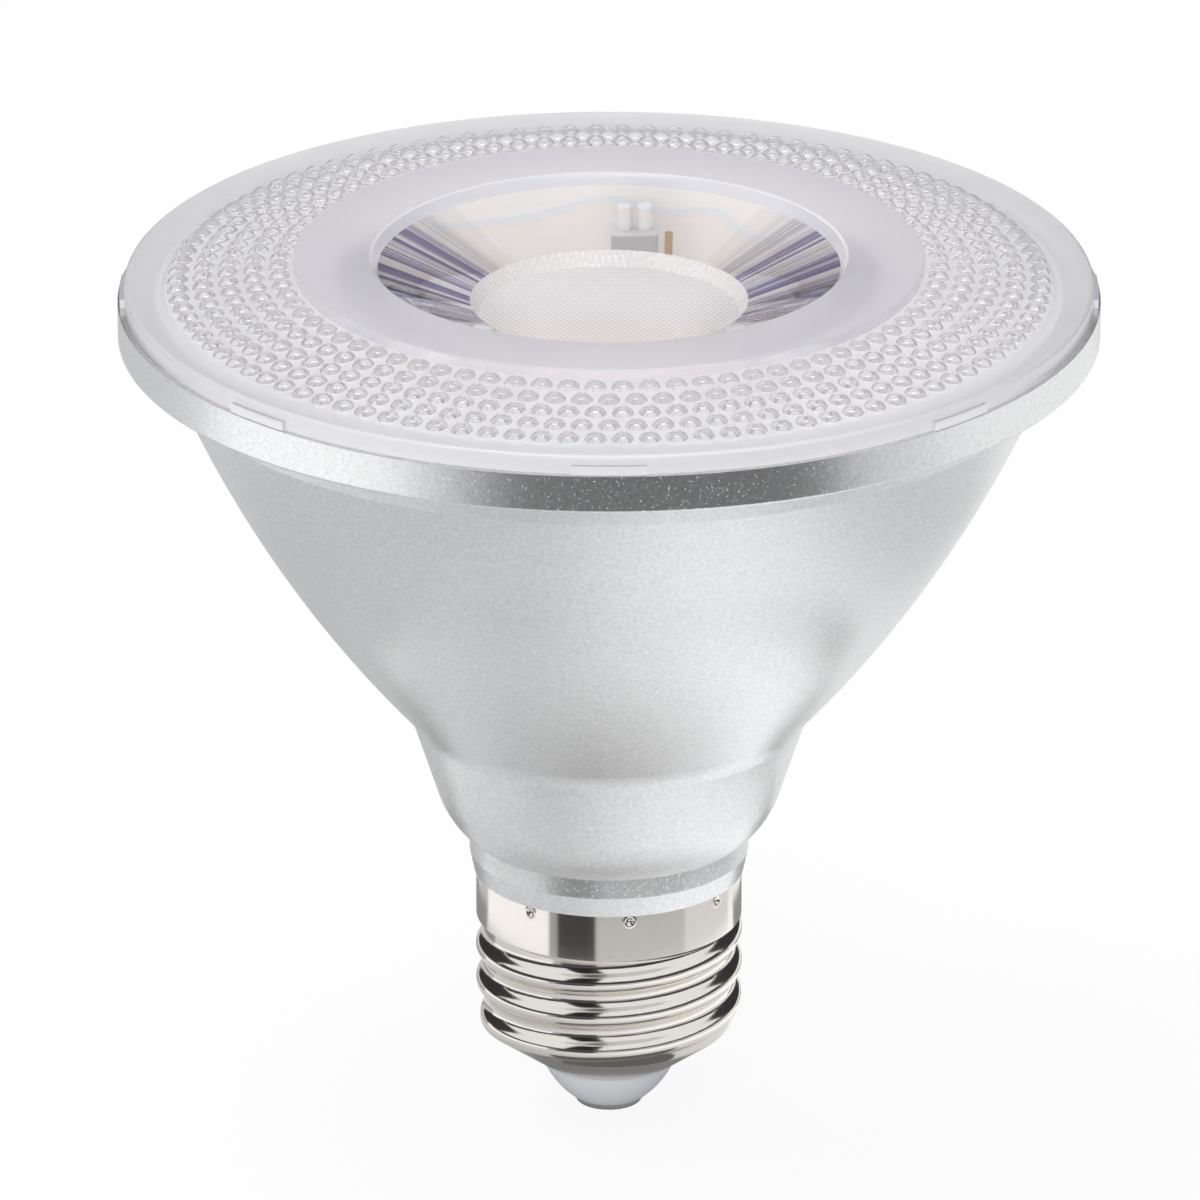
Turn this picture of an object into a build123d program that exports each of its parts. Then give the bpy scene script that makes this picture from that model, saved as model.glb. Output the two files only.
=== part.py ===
from build123d import *
import os
from math import atan, cos, degrees, hypot, radians, sin, sqrt

os.makedirs("parts", exist_ok=True)

# Short neck LED reflector lamp with a medium screw cap, in millimetres.
# The flat tip of the centre contact is the origin, and +Z runs up the lamp's
# axis to the lens. The driver board stands in the plane of X and Z.

# Fits shared by the pieces
press_fit = 0.05
slide_fit = 0.1
loose_fit = 0.3

# Centre contact and its insulator
contact_radius = 3.3
contact_height = 0.7
contact_rounding = 0.3
shank_radius = 1.1
nose_foot_radius = 3.6
nose_height = 4.05
nose_bulge = 0.35
insulator_depth = 4.7
insulator_edge = 1.0

# Screw shell, drawn from sheet, with a rolled thread
shell_sheet = 0.35
shell_mouth_radius = 6.75
shell_root_radius = 12.2
shell_barrel_radius = 13.05
skirt_height = 3.95
skirt_rounding = 1.4
thread_height = 11.55
thread_pitch = 3.629
thread_start_angle = 139
thread_start_lift = 0.38
thread_end_drop = 0.28
thread_crest_drop = 0.1
thread_roll_radius = 1.25
shoulder_height = 0.7
barrel_height = 4.75
punch_count = 8
punch_first_angle = 9
punch_radius = 0.75
punch_depth = 0.2
punch_drop = 0.75

# Housing: collar, neck, bowl and rim band
wall = 1.6
collar_foot_radius = 13.25
collar_radius = 13.7
collar_bevel_height = 2.1
collar_ring_height = 1.95
neck_foot_radius = 16.8
flare_height = 4.4
knee_radius = 19.55
neck_height = 8.4
knee_rounding = 5.0
bowl_top_radius = 42.5
bowl_height = 36.1
bowl_bulge = 1.86
strip_step = 0.35
strip_flare = 0.8
strip_height = 3.0
rim_radius = 47.6
rim_rounding = 0.35
band_height = 3.8
lip_thickness = 0.6
seat_depth = 1.8
seat_width = 2.6
spigot_wall = 1.5
spigot_length = 13.0
ledge_height = 2.0

# Front lens: plateau, dish over the light source, rings of domes and collimator
lens_rise = 4.2
lens_depth = 20.0
plateau_outer_radius = 30.55
plateau_inner_radius = 23.05
plateau_step = 1.0
dish_lip_height = 1.1
dish_lip_run = 0.65
dish_foot_radius = 13.5
dish_depth = 4.5
dish_disc_radius = 12.6
dish_disc_drop = 1.4
dish_rounding = 0.45
dome_zone_radius = 43.1
dome_zone_drop = 1.8
dome_rings = 5
dome_first_radius = 41.8
dome_ring_pitch = 2.46
dome_first_count = 102
dome_count_step = 6
dome_sides = 6
dome_radius = 1.18
dome_top_radius = 0.62
dome_height = 0.5
flange_rise = 0.5
flange_rounding = 0.4
lens_plate = 1.8
lens_rim_width = 3.5
collimator_top_radius = 27.5
collimator_foot_radius = 8.6
collimator_bulge = 1.7
pocket_radius = 6.6
pocket_draft = 0.4
pocket_depth = 6.0
pocket_crown = 1.2
tab_count = 8
tab_first_angle = 0
tab_width = 7.0
tab_reach = 0.5
tab_height = 0.9

# Heat sink cup, light source and its board
cup_sheet = 1.5
cup_flange_bend = 1.0
cup_rounding = 2.0
pad_thickness = 0.4
led_board_radius = 29.0
led_board_thickness = 1.6
substrate_side = 13.5
substrate_thickness = 1.0
dam_radius = 5.9
dam_width = 1.0
dam_height = 0.5
phosphor_height = 0.35
lens_gap = 0.35
board_screw_count = 3
board_screw_circle = 16.5
board_screw_first_angle = 30
board_screw_radius = 1.5
board_screw_head_radius = 2.75
board_screw_head_height = 1.8
board_screw_length = 4.5
connector_width = 4.8
connector_length = 3.8
connector_height = 10.9
connector_rounding = 0.4
connector_x = 2.6
connector_y = 26.0
peg_radius = 0.85
peg_height = 3.7
wire_entry = 3.0
blade_gap = 0.7
blade_width = 0.8
blade_thickness = 0.4
blade_height = 10.0

# Driver board in the neck and its components
driver_board_thickness = 1.6
driver_board_width = 26.0
driver_board_height = 29.0
tongue_width = 17.6
tongue_length = 16.6
guide_height = 9.0
guide_wall = 1.5
guide_grip = 1.2
fuse_radius = 1.6
fuse_length = 7.0
fuse_place = (-4.2, 23.0)
lead_radius = 0.35
lead_stand = 1.0
varistor_radius = 2.9
varistor_thickness = 2.6
varistor_place = (4.6, 23.0)
choke_radius = 3.2
choke_neck_radius = 2.1
choke_length = 6.0
choke_flange = 1.0
choke_place = (0.0, 29.5)
rectifier_size = (6.4, 2.6, 5.0)
rectifier_place = (0.0, 25.0)
film_capacitor_size = (9.6, 5.2, 8.4)
film_capacitor_place = (-6.4, 38.4)
film_capacitor_rounding = 0.8
can_radius = 4.0
can_length = 10.0
can_groove = 0.4
can_place = (5.4, 38.6)
transformer_centre = 52.0
core_width = 16.0
core_height = 14.0
core_depth = 5.0
core_leg = 2.5
core_post = 4.0
core_yoke = 2.0
bobbin_wall = 0.7
bobbin_flange = 0.8
bobbin_depth = 11.0
winding_gap = 0.6
switch_size = (6.6, 2.3, 6.1)
switch_tab_height = 1.1
switch_tab_thickness = 0.5
switch_place = (-7.0, 50.0)
controller_size = (4.9, 1.6, 3.9)
controller_place = (0.0, 44.0)
diode_size = (4.4, 2.3, 3.6)
diode_place = (7.0, 51.0)

# Wires
wire_radius = 0.5
wire_bend = 1.4
live_wire_x = 4.0
neutral_wire_x = -5.0
cap_wire_top = 18.5
cap_wire_stand = 2.4
neutral_wire_rise = 4.0
led_wire_pitch = 2.1
led_wire_drop = 5.0
led_wire_stand = 3.0
led_wire_x = 10.8
led_wire_hole_radius = 1.75

# Levels up the axis, stacked from the contact's tip
insulator_foot = contact_height
shell_foot = insulator_foot + nose_height
skirt_top = shell_foot + skirt_height
barrel_foot = skirt_top + thread_height
shell_top = barrel_foot + barrel_height
insulator_top = shell_foot + insulator_depth
collar_foot = shell_top + press_fit
ring_foot = collar_foot + collar_bevel_height
body_foot = ring_foot + collar_ring_height
neck_foot = body_foot + flare_height
knee = neck_foot + neck_height
strip_foot = knee + bowl_height
band_foot = strip_foot + strip_height
band_top = band_foot + band_height
lens_seat = band_top - seat_depth
plateau = band_top + lens_rise
collimator_foot = plateau - lens_depth
substrate_top = collimator_foot - lens_gap
led_board_top = substrate_top - substrate_thickness
deck_top = led_board_top - led_board_thickness - pad_thickness
deck_foot = deck_top - cup_sheet
board_ledge = body_foot + ledge_height
driver_board_top = board_ledge + driver_board_height
spigot_foot = collar_foot - spigot_length

# Radii that follow from the fits
shell_bore_radius = shell_root_radius - shell_sheet
spigot_radius = shell_bore_radius - slide_fit
spigot_bore_radius = spigot_radius - spigot_wall
spigot_head_radius = shell_barrel_radius - shell_sheet - slide_fit
lip_radius = rim_radius - lip_thickness
lens_radius = lip_radius - slide_fit
seat_inner_radius = lip_radius - seat_width
board_face = driver_board_thickness / 2

# The bowl is an arc through the knee and the strip's foot
bowl_chord = hypot(bowl_top_radius - knee_radius, bowl_height)
bowl_arc_radius = (bowl_chord**2 / 4 + bowl_bulge**2) / (2 * bowl_bulge)
bowl_reach = (bowl_arc_radius - bowl_bulge) / bowl_chord
bowl_centre_r = (knee_radius + bowl_top_radius) / 2 - bowl_reach * bowl_height
bowl_centre_z = (knee + strip_foot) / 2 + bowl_reach * (bowl_top_radius - knee_radius)
neck_slope = (knee_radius - neck_foot_radius) / neck_height
neck_wall = wall * sqrt(1 + neck_slope**2)


def bowl_radius(level, depth):
    """Radius of the bowl at a level, on the surface that lies this deep under its skin."""
    return bowl_centre_r + sqrt((bowl_arc_radius - depth) ** 2 - (level - bowl_centre_z) ** 2)


def bowl_points(low, high, depth):
    """Start, middle and end of the bowl's arc between two levels."""
    return [(bowl_radius(level, depth), level) for level in (low, (low + high) / 2, high)]


# Centre contact: a pressed disc with a shank that is riveted through the insulator
with BuildPart() as centre_contact:
    with BuildSketch(Plane.XZ):
        with BuildLine():
            Polyline(
                (0, 0),
                (contact_radius, 0),
                (contact_radius, contact_height),
                (shank_radius, contact_height),
                (shank_radius, insulator_top),
                (0, insulator_top),
                close=True,
            )
        make_face()
    revolve(axis=Axis.Z)
    fillet(centre_contact.edges().group_by(Axis.Z)[0], contact_rounding)

# Base insulator: a moulded nose below the shell, held inside by the shell's skirt
skirt_slope = skirt_height / (shell_root_radius - shell_mouth_radius)
skirt_lift = (shell_sheet + slide_fit) * sqrt(1 + skirt_slope**2)
nose_radius = shell_mouth_radius - slide_fit
insulator_radius = shell_bore_radius - insulator_edge
nose_shoulder = shell_foot + skirt_lift + (nose_radius - shell_mouth_radius) * skirt_slope
insulator_shoulder = shell_foot + skirt_lift + (insulator_radius - shell_mouth_radius) * skirt_slope
with BuildPart() as base_insulator:
    with BuildSketch(Plane.XZ):
        with BuildLine():
            SagittaArc((nose_foot_radius, insulator_foot), (nose_radius, shell_foot), -nose_bulge)
            Polyline(
                (nose_radius, shell_foot),
                (nose_radius, nose_shoulder),
                (insulator_radius, insulator_shoulder),
                (insulator_radius, insulator_top),
                (shank_radius + press_fit, insulator_top),
                (shank_radius + press_fit, insulator_foot),
                (nose_foot_radius, insulator_foot),
            )
        make_face()
    revolve(axis=Axis.Z)

# Screw shell: its outer form with the thread rolled on it, less its form a sheet further in
shoulder_foot = barrel_foot - shoulder_height
thread_plane = Plane(
    (0, 0, skirt_top + thread_start_lift),
    x_dir=(cos(radians(thread_start_angle)), sin(radians(thread_start_angle)), 0),
    z_dir=(0, 0, 1),
)
thread_run = thread_height - thread_start_lift - thread_end_drop
thread_centre_radius = shell_barrel_radius - thread_crest_drop - thread_roll_radius


def shell_form(depth):
    """Solid of the shell without its thread, on the surface that lies this deep under its skin."""
    skirt_shift = depth * sqrt(1 + skirt_slope**2)
    skirt_foot = (shell_mouth_radius, shell_foot + skirt_shift)
    skirt_end = (shell_root_radius - depth, skirt_top + skirt_shift - depth * skirt_slope)
    root_end = (shell_root_radius - depth, shoulder_foot)
    with BuildPart(mode=Mode.PRIVATE) as form:
        with BuildSketch(Plane.XZ):
            with BuildLine():
                FilletPolyline(skirt_foot, skirt_end, root_end, radius=skirt_rounding)
                Polyline(
                    root_end,
                    (shell_barrel_radius - depth, barrel_foot),
                    (shell_barrel_radius - depth, shell_top),
                    (0, shell_top),
                    (0, shell_foot + skirt_shift),
                    skirt_foot,
                )
            make_face()
        revolve(axis=Axis.Z)
    return form.part


with BuildPart() as screw_shell:
    add(shell_form(0))
    with BuildLine(thread_plane) as crest:
        Helix(thread_pitch, thread_run, thread_centre_radius)
    with BuildSketch(Plane(crest.line @ 0, z_dir=crest.line % 0)):
        Circle(thread_roll_radius)
    sweep(path=crest.line, is_frenet=True)
    add(shell_form(shell_sheet), mode=Mode.SUBTRACT)
    with BuildSketch(Plane.XY.offset(shell_foot)):
        Circle(shell_mouth_radius)
    extrude(amount=skirt_height / 2, mode=Mode.SUBTRACT)
    with PolarLocations(shell_barrel_radius + punch_radius - punch_depth, punch_count, punch_first_angle):
        with Locations((0, 0, shell_top - punch_drop)):
            Sphere(punch_radius, mode=Mode.SUBTRACT)

# Housing: one moulding from the cap's spigot to the rim band
neck_inner_foot = neck_foot_radius - neck_wall
ledge_outer_radius = neck_inner_foot - (neck_foot - board_ledge) * neck_slope - wall / 4
knee_inner_radius = bowl_radius(knee, wall)
cup_seat = lens_seat - cup_sheet - press_fit
guide_inner = driver_board_width / 2 - guide_grip
guide_top = board_ledge + guide_height
guide_top_radius = neck_inner_foot + (guide_top - neck_foot) * neck_slope
neutral_groove = 2 * wire_radius + 2 * slide_fit
with BuildPart() as housing:
    with BuildSketch(Plane.XZ) as housing_profile:
        with BuildLine():
            Polyline(
                (spigot_bore_radius, spigot_foot),
                (spigot_radius, spigot_foot),
                (spigot_radius, barrel_foot),
                (spigot_head_radius, barrel_foot + shoulder_height),
                (spigot_head_radius, collar_foot),
                (collar_foot_radius, collar_foot),
                (collar_radius, ring_foot),
                (collar_radius, body_foot),
            )
            TangentArc(
                (neck_foot_radius, neck_foot),
                (collar_radius, body_foot),
                tangent=(-neck_slope, -1),
            )
            Line((neck_foot_radius, neck_foot), (knee_radius, knee))
            ThreePointArc(*bowl_points(knee, strip_foot, 0))
            Polyline(
                (bowl_top_radius, strip_foot),
                (bowl_top_radius + strip_step, strip_foot),
                (bowl_top_radius + strip_step + strip_flare, band_foot),
                (rim_radius, band_foot),
                (rim_radius, band_top),
                (lip_radius, band_top),
                (lip_radius, lens_seat),
                (seat_inner_radius, lens_seat),
                (seat_inner_radius, cup_seat),
                (bowl_radius(cup_seat, wall), cup_seat),
            )
            ThreePointArc(*bowl_points(knee, cup_seat, wall))
            Polyline(
                (knee_inner_radius, knee),
                (neck_inner_foot, neck_foot),
                (ledge_outer_radius, board_ledge),
                (spigot_bore_radius, board_ledge),
                (spigot_bore_radius, spigot_foot),
            )
        make_face()
        rim_corner = housing_profile.vertices().group_by(Axis.X)[-1].sort_by(Axis.Y)[0]
        fillet(rim_corner, rim_rounding)
        knee_corner = housing_profile.vertices().sort_by_distance((knee_radius, knee))[0]
        fillet(knee_corner, knee_rounding)
    revolve(axis=Axis.Z)
    with BuildSketch(Plane.XZ):
        for side in (1, -1):
            with BuildLine():
                Polyline(
                    (side * guide_inner, board_ledge - wall / 2),
                    (side * (ledge_outer_radius + wall / 2), board_ledge - wall / 2),
                    (side * (guide_top_radius + wall / 2), guide_top),
                    (side * guide_inner, guide_top),
                    close=True,
                )
            make_face()
    extrude(amount=board_face + slide_fit + guide_wall, both=True)
    with Locations((0, 0, board_ledge)):
        Box(
            driver_board_width + 2 * slide_fit,
            driver_board_thickness + 2 * slide_fit,
            guide_height,
            align=(Align.CENTER, Align.CENTER, Align.MIN),
            mode=Mode.SUBTRACT,
        )
    with Locations((-spigot_radius, 0, spigot_foot)):
        Box(
            2 * neutral_groove,
            neutral_groove,
            neutral_wire_rise + slide_fit,
            align=(Align.CENTER, Align.CENTER, Align.MIN),
            mode=Mode.SUBTRACT,
        )

# One dome of the lens, a low frustum that is sunk a little into the plate
with BuildPart() as dome:
    with BuildSketch(Plane.XY.offset(-dome_height / 2)):
        RegularPolygon(dome_radius + (dome_radius - dome_top_radius) / 2, dome_sides)
    with BuildSketch(Plane.XY.offset(dome_height)):
        RegularPolygon(dome_top_radius, dome_sides)
    loft()

# Front lens: a clear moulding with a collimator over the light source, ears that rest on the
# rim's lip, a dish over the collimator and rings of domes on the cone round the plateau
flange_level = plateau - plateau_step - dome_zone_drop
flange_edge = flange_level + flange_rise
dish_foot = plateau - dish_depth
disc_level = dish_foot - dish_disc_drop
collimator_top = plateau - plateau_step - lens_plate
pocket_top = collimator_foot + pocket_depth
lens_rim_inner = lens_radius - lens_rim_width
lens_foot = lens_seat + press_fit
dome_slope = dome_zone_drop / (dome_zone_radius - plateau_outer_radius)
dome_tilt = degrees(atan(dome_slope))
dome_places = []
for ring in range(dome_rings):
    ring_count = dome_first_count - ring * dome_count_step
    ring_radius = dome_first_radius - ring * dome_ring_pitch
    ring_level = flange_level + (dome_zone_radius - ring_radius) * dome_slope
    for place in range(ring_count):
        turn = Location((0, 0, ring_level), (0, 0, 360 * place / ring_count))
        dome_places.append(turn * Location((ring_radius, 0, 0), (0, dome_tilt, 0)))
with BuildPart() as front_lens:
    with BuildSketch(Plane.XZ) as lens_profile:
        with BuildLine():
            Polyline(
                (0, pocket_top - pocket_crown),
                (0, disc_level),
                (dish_disc_radius, disc_level),
                (dish_foot_radius, dish_foot),
                (plateau_inner_radius - dish_lip_run, plateau - dish_lip_height),
                (plateau_inner_radius, plateau),
                (plateau_outer_radius, plateau),
                (plateau_outer_radius, plateau - plateau_step),
                (dome_zone_radius, flange_level),
                (lens_radius, flange_edge),
                (lens_radius, lens_foot),
                (lens_rim_inner, lens_foot),
                (lens_rim_inner, flange_level - lens_plate),
                (plateau_outer_radius, collimator_top),
                (collimator_top_radius, collimator_top),
            )
            SagittaArc(
                (collimator_top_radius, collimator_top),
                (collimator_foot_radius, collimator_foot),
                -collimator_bulge,
            )
            Polyline(
                (collimator_foot_radius, collimator_foot),
                (pocket_radius, collimator_foot),
                (pocket_radius - pocket_draft, pocket_top),
            )
            TangentArc(
                (0, pocket_top - pocket_crown),
                (pocket_radius - pocket_draft, pocket_top),
                tangent=(1, 0),
            )
        make_face()
        dish_mouth = lens_profile.vertices().sort_by_distance((plateau_inner_radius, plateau))[0]
        fillet(dish_mouth, dish_rounding)
        flange_corner = lens_profile.vertices().sort_by_distance((lens_radius, flange_edge))[0]
        fillet(flange_corner, flange_rounding)
    revolve(axis=Axis.Z)
    with PolarLocations(lens_radius, tab_count, tab_first_angle):
        with Locations((0, 0, band_top + press_fit)):
            Box(2 * tab_reach, tab_width, tab_height, align=(Align.CENTER, Align.CENTER, Align.MIN))
    with Locations(*dome_places):
        add(dome.part)

# Heat sink cup: spun from sheet, hung by its flange under the lens rim
cup_flange = cup_seat + cup_sheet / 2
cup_deck = deck_foot + cup_sheet / 2
cup_mouth_radius = bowl_radius(cup_seat, wall) - loose_fit - cup_sheet
cup_deck_radius = bowl_radius(deck_foot, wall) - loose_fit - cup_sheet
with BuildPart() as heat_sink_cup:
    with BuildSketch(Plane.XZ):
        with BuildLine() as cup_line:
            FilletPolyline(
                (seat_inner_radius - slide_fit, cup_flange),
                (cup_mouth_radius, cup_flange),
                (cup_deck_radius, cup_deck),
                (0, cup_deck),
                radius=(cup_flange_bend, cup_rounding),
            )
        trace(line_width=cup_sheet)
    revolve(axis=Axis.Z)
    with BuildSketch(Plane.XY.offset(deck_foot)):
        with PolarLocations(board_screw_circle, board_screw_count, board_screw_first_angle):
            Circle(board_screw_radius + press_fit)
        with Locations((connector_x, connector_y)):
            Circle(led_wire_hole_radius)
    extrude(amount=cup_sheet, mode=Mode.SUBTRACT)

# Thermal pad under the light source's board
with BuildPart() as thermal_pad:
    with BuildSketch(Plane.XY.offset(deck_top)):
        Circle(led_board_radius)
        with PolarLocations(board_screw_circle, board_screw_count, board_screw_first_angle):
            Circle(board_screw_radius + loose_fit, mode=Mode.SUBTRACT)
        with Locations((connector_x, connector_y)):
            Circle(led_wire_hole_radius, mode=Mode.SUBTRACT)
    extrude(amount=pad_thickness)

# Round metal core board that carries the light source and its connector
with BuildPart() as led_board:
    with BuildSketch(Plane.XY.offset(deck_top + pad_thickness)):
        Circle(led_board_radius)
        with PolarLocations(board_screw_circle, board_screw_count, board_screw_first_angle):
            Circle(board_screw_radius + slide_fit, mode=Mode.SUBTRACT)
        with Locations((connector_x, connector_y)):
            Circle(led_wire_hole_radius, mode=Mode.SUBTRACT)
    extrude(amount=led_board_thickness)

# Light source: a ceramic substrate with a dam that holds the phosphor
with BuildPart() as led_substrate:
    with BuildSketch(Plane.XY.offset(led_board_top)):
        RectangleRounded(substrate_side, substrate_side, substrate_thickness)
    extrude(amount=substrate_thickness)

with BuildPart() as led_dam:
    with BuildSketch(Plane.XY.offset(substrate_top)):
        Circle(dam_radius)
        Circle(dam_radius - dam_width, mode=Mode.SUBTRACT)
    extrude(amount=dam_height)
    fillet(led_dam.edges().group_by(Axis.Z)[-1], dam_width / 3)

with BuildPart() as led_phosphor:
    with BuildSketch(Plane.XY.offset(substrate_top)):
        Circle(dam_radius - dam_width - press_fit)
    extrude(amount=phosphor_height)

# Screws that hold the board down on the pad and the cup's deck
with BuildPart() as board_screws:
    with BuildSketch(Plane.XY.offset(led_board_top)):
        with PolarLocations(board_screw_circle, board_screw_count, board_screw_first_angle):
            Circle(board_screw_head_radius)
    extrude(amount=board_screw_head_height)
    fillet(board_screws.edges().group_by(Axis.Z)[-1], board_screw_head_height / 3)
    with BuildSketch(Plane.XY.offset(led_board_top)):
        with PolarLocations(board_screw_circle, board_screw_count, board_screw_first_angle):
            Circle(board_screw_radius)
    extrude(amount=-board_screw_length)

# Two pole push-in connector on the board, with a round release peg over each pole. The
# wires come up through the board into its foot.
with BuildPart() as wire_connector:
    with Locations((connector_x, connector_y, led_board_top)):
        Box(
            connector_width,
            connector_length,
            connector_height,
            align=(Align.CENTER, Align.CENTER, Align.MIN),
        )
    fillet(wire_connector.edges().filter_by(Axis.Z), connector_rounding)
    with BuildSketch(Plane.XY.offset(led_board_top + connector_height)):
        with Locations((connector_x, connector_y)):
            with GridLocations(led_wire_pitch, 1, 2, 1):
                Circle(peg_radius)
    extrude(amount=peg_height)
    fillet(wire_connector.edges().group_by(Axis.Z)[-1], peg_radius / 2)
    with BuildSketch(Plane.XY.offset(led_board_top)):
        with Locations((connector_x, connector_y)):
            with GridLocations(led_wire_pitch, 1, 2, 1):
                Circle(wire_radius + slide_fit)
    extrude(amount=wire_entry, mode=Mode.SUBTRACT)

# Test blade, a thin brass strip that stands on the board beside the connector
blade_x = connector_x + connector_width / 2 + blade_gap + blade_width / 2
with BuildPart() as test_blade:
    with Locations((blade_x, connector_y, led_board_top)):
        Box(
            blade_width,
            blade_thickness,
            blade_height,
            align=(Align.CENTER, Align.CENTER, Align.MIN),
        )
    chamfer(test_blade.faces().sort_by(Axis.Z)[-1].edges().filter_by(Axis.Y), blade_width / 4)

# Driver board: wide between the neck's guides, with a tongue down into the cap
with BuildPart() as driver_board:
    with BuildSketch(Plane.XZ):
        with Locations((0, board_ledge)):
            Rectangle(driver_board_width, driver_board_height, align=(Align.CENTER, Align.MIN))
            Rectangle(tongue_width, tongue_length, align=(Align.CENTER, Align.MAX))
    extrude(amount=board_face, both=True)

# The board's two faces: parts on the first stand towards +Y, on the second towards -Y
plus_face = Plane.XZ.offset(-board_face)
minus_face = Plane.XZ.offset(board_face)

# Fusible resistor, lying on the tongue with its leads bent into the board
fuse_x, fuse_level = fuse_place
fuse_y = board_face + fuse_radius
fuse_half = fuse_length / 2
with BuildPart() as fuse_resistor:
    with BuildSketch(Plane.XY.offset(fuse_level - fuse_half)):
        with Locations((fuse_x, fuse_y)):
            Circle(fuse_radius)
    extrude(amount=fuse_length)
    fillet(fuse_resistor.edges(), fuse_radius / 4)
    for end in (1, -1):
        with BuildLine() as lead:
            FilletPolyline(
                (fuse_x, fuse_y, fuse_level),
                (fuse_x, fuse_y, fuse_level + end * (fuse_half + 3 * lead_radius)),
                (fuse_x, board_face, fuse_level + end * (fuse_half + 3 * lead_radius)),
                radius=2 * lead_radius,
            )
        with BuildSketch(Plane(lead.line @ 0, z_dir=lead.line % 0)):
            Circle(lead_radius)
        sweep(path=lead.line)

# Varistor: an upright disc on two leads
varistor_x, varistor_level = varistor_place
varistor_y = board_face + lead_stand + varistor_radius
with BuildPart() as surge_varistor:
    with BuildSketch(Plane.YZ.offset(varistor_x)):
        with Locations((varistor_y, varistor_level)):
            Circle(varistor_radius)
    extrude(amount=varistor_thickness / 2, both=True)
    fillet(surge_varistor.edges().filter_by(GeomType.CIRCLE), varistor_thickness / 3)
    with BuildSketch(plus_face):
        with Locations((varistor_x, varistor_level)):
            with GridLocations(1, varistor_radius, 1, 2):
                Circle(lead_radius)
    extrude(amount=-lead_stand - varistor_radius / 2)

# Input choke: a drum core in its sleeve, standing on the board
with BuildPart() as input_choke:
    with BuildSketch(plus_face):
        with Locations(choke_place):
            Circle(choke_radius)
    extrude(amount=-choke_length)
    with BuildSketch(plus_face.offset(-choke_flange)):
        with Locations(choke_place):
            Circle(choke_radius)
            Circle(choke_neck_radius, mode=Mode.SUBTRACT)
    extrude(amount=2 * choke_flange - choke_length, mode=Mode.SUBTRACT)

# Bridge rectifier, a moulded block with a polarity corner
rectifier_width, rectifier_depth, rectifier_height = rectifier_size
with BuildPart() as bridge_rectifier:
    with BuildSketch(minus_face):
        with Locations(rectifier_place):
            Rectangle(rectifier_width, rectifier_height)
    extrude(amount=rectifier_depth)
    chamfer(bridge_rectifier.edges().filter_by(Axis.Y).sort_by(Axis.X)[-1], rectifier_depth / 3)

# Film capacitor, a dipped box
film_width, film_depth, film_height = film_capacitor_size
with BuildPart() as film_capacitor:
    with BuildSketch(plus_face):
        with Locations(film_capacitor_place):
            RectangleRounded(film_width, film_height, film_capacitor_rounding)
    extrude(amount=-film_depth)
    fillet(film_capacitor.edges().group_by(Axis.Y)[-1], film_capacitor_rounding / 2)

# Output capacitor, an aluminium can with a crimped groove near its seal
with BuildPart() as output_capacitor:
    with BuildSketch(plus_face):
        with Locations(can_place):
            Circle(can_radius)
    extrude(amount=-can_length)
    fillet(output_capacitor.edges().group_by(Axis.Y)[-1], can_groove)
    with BuildSketch(plus_face.offset(-3 * can_groove)):
        with Locations(can_place):
            Circle(can_radius)
            Circle(can_radius - can_groove, mode=Mode.SUBTRACT)
    extrude(amount=-2 * can_groove, mode=Mode.SUBTRACT)

# Transformer: a ferrite core in two windows, a bobbin on its post and the winding on that
transformer_y = board_face + bobbin_depth / 2
transformer_plane = Plane.XZ.offset(-transformer_y)
window_height = core_height - 2 * core_yoke
window_width = (core_width - 2 * core_leg - core_post) / 2
with BuildPart() as transformer_core:
    with BuildSketch(transformer_plane):
        with Locations((0, transformer_centre)):
            Rectangle(core_width, core_height)
            with GridLocations(core_post + window_width, 1, 2, 1):
                Rectangle(window_width, window_height, mode=Mode.SUBTRACT)
    extrude(amount=core_depth / 2, both=True)

tube_width = core_post + 2 * slide_fit + 2 * bobbin_wall
tube_depth = core_depth + 2 * slide_fit + 2 * bobbin_wall
flange_width = core_width - 2 * core_leg - 2 * slide_fit
bobbin_height = window_height - 2 * slide_fit
with BuildPart() as transformer_bobbin:
    with Locations((0, transformer_y, transformer_centre)):
        Box(tube_width, tube_depth, bobbin_height)
        for end in (1, -1):
            with Locations((0, 0, end * (bobbin_height - bobbin_flange) / 2)):
                Box(flange_width, bobbin_depth, bobbin_flange)
        Box(core_post + 2 * slide_fit, core_depth + 2 * slide_fit, bobbin_height, mode=Mode.SUBTRACT)

winding_height = bobbin_height - 2 * bobbin_flange - 2 * press_fit
with BuildPart() as transformer_winding:
    with BuildSketch(Plane.XY.offset(transformer_centre - winding_height / 2)):
        with Locations((0, transformer_y)):
            RectangleRounded(flange_width - winding_gap, bobbin_depth - winding_gap, core_post / 2)
            Rectangle(tube_width + 2 * press_fit, tube_depth + 2 * press_fit, mode=Mode.SUBTRACT)
    extrude(amount=winding_height)

# Switching transistor with its soldered tab
switch_width, switch_depth, switch_height = switch_size
switch_x, switch_level = switch_place
with BuildPart() as power_switch:
    with BuildSketch(minus_face):
        with Locations(switch_place):
            Rectangle(switch_width, switch_height)
    extrude(amount=switch_depth)
    chamfer(power_switch.faces().sort_by(Axis.Y)[0].edges(), switch_tab_thickness)
    with BuildSketch(minus_face):
        with Locations((switch_x, switch_level + switch_height / 2)):
            Rectangle(switch_width - switch_tab_height, 2 * switch_tab_height)
    extrude(amount=switch_tab_thickness)

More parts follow.
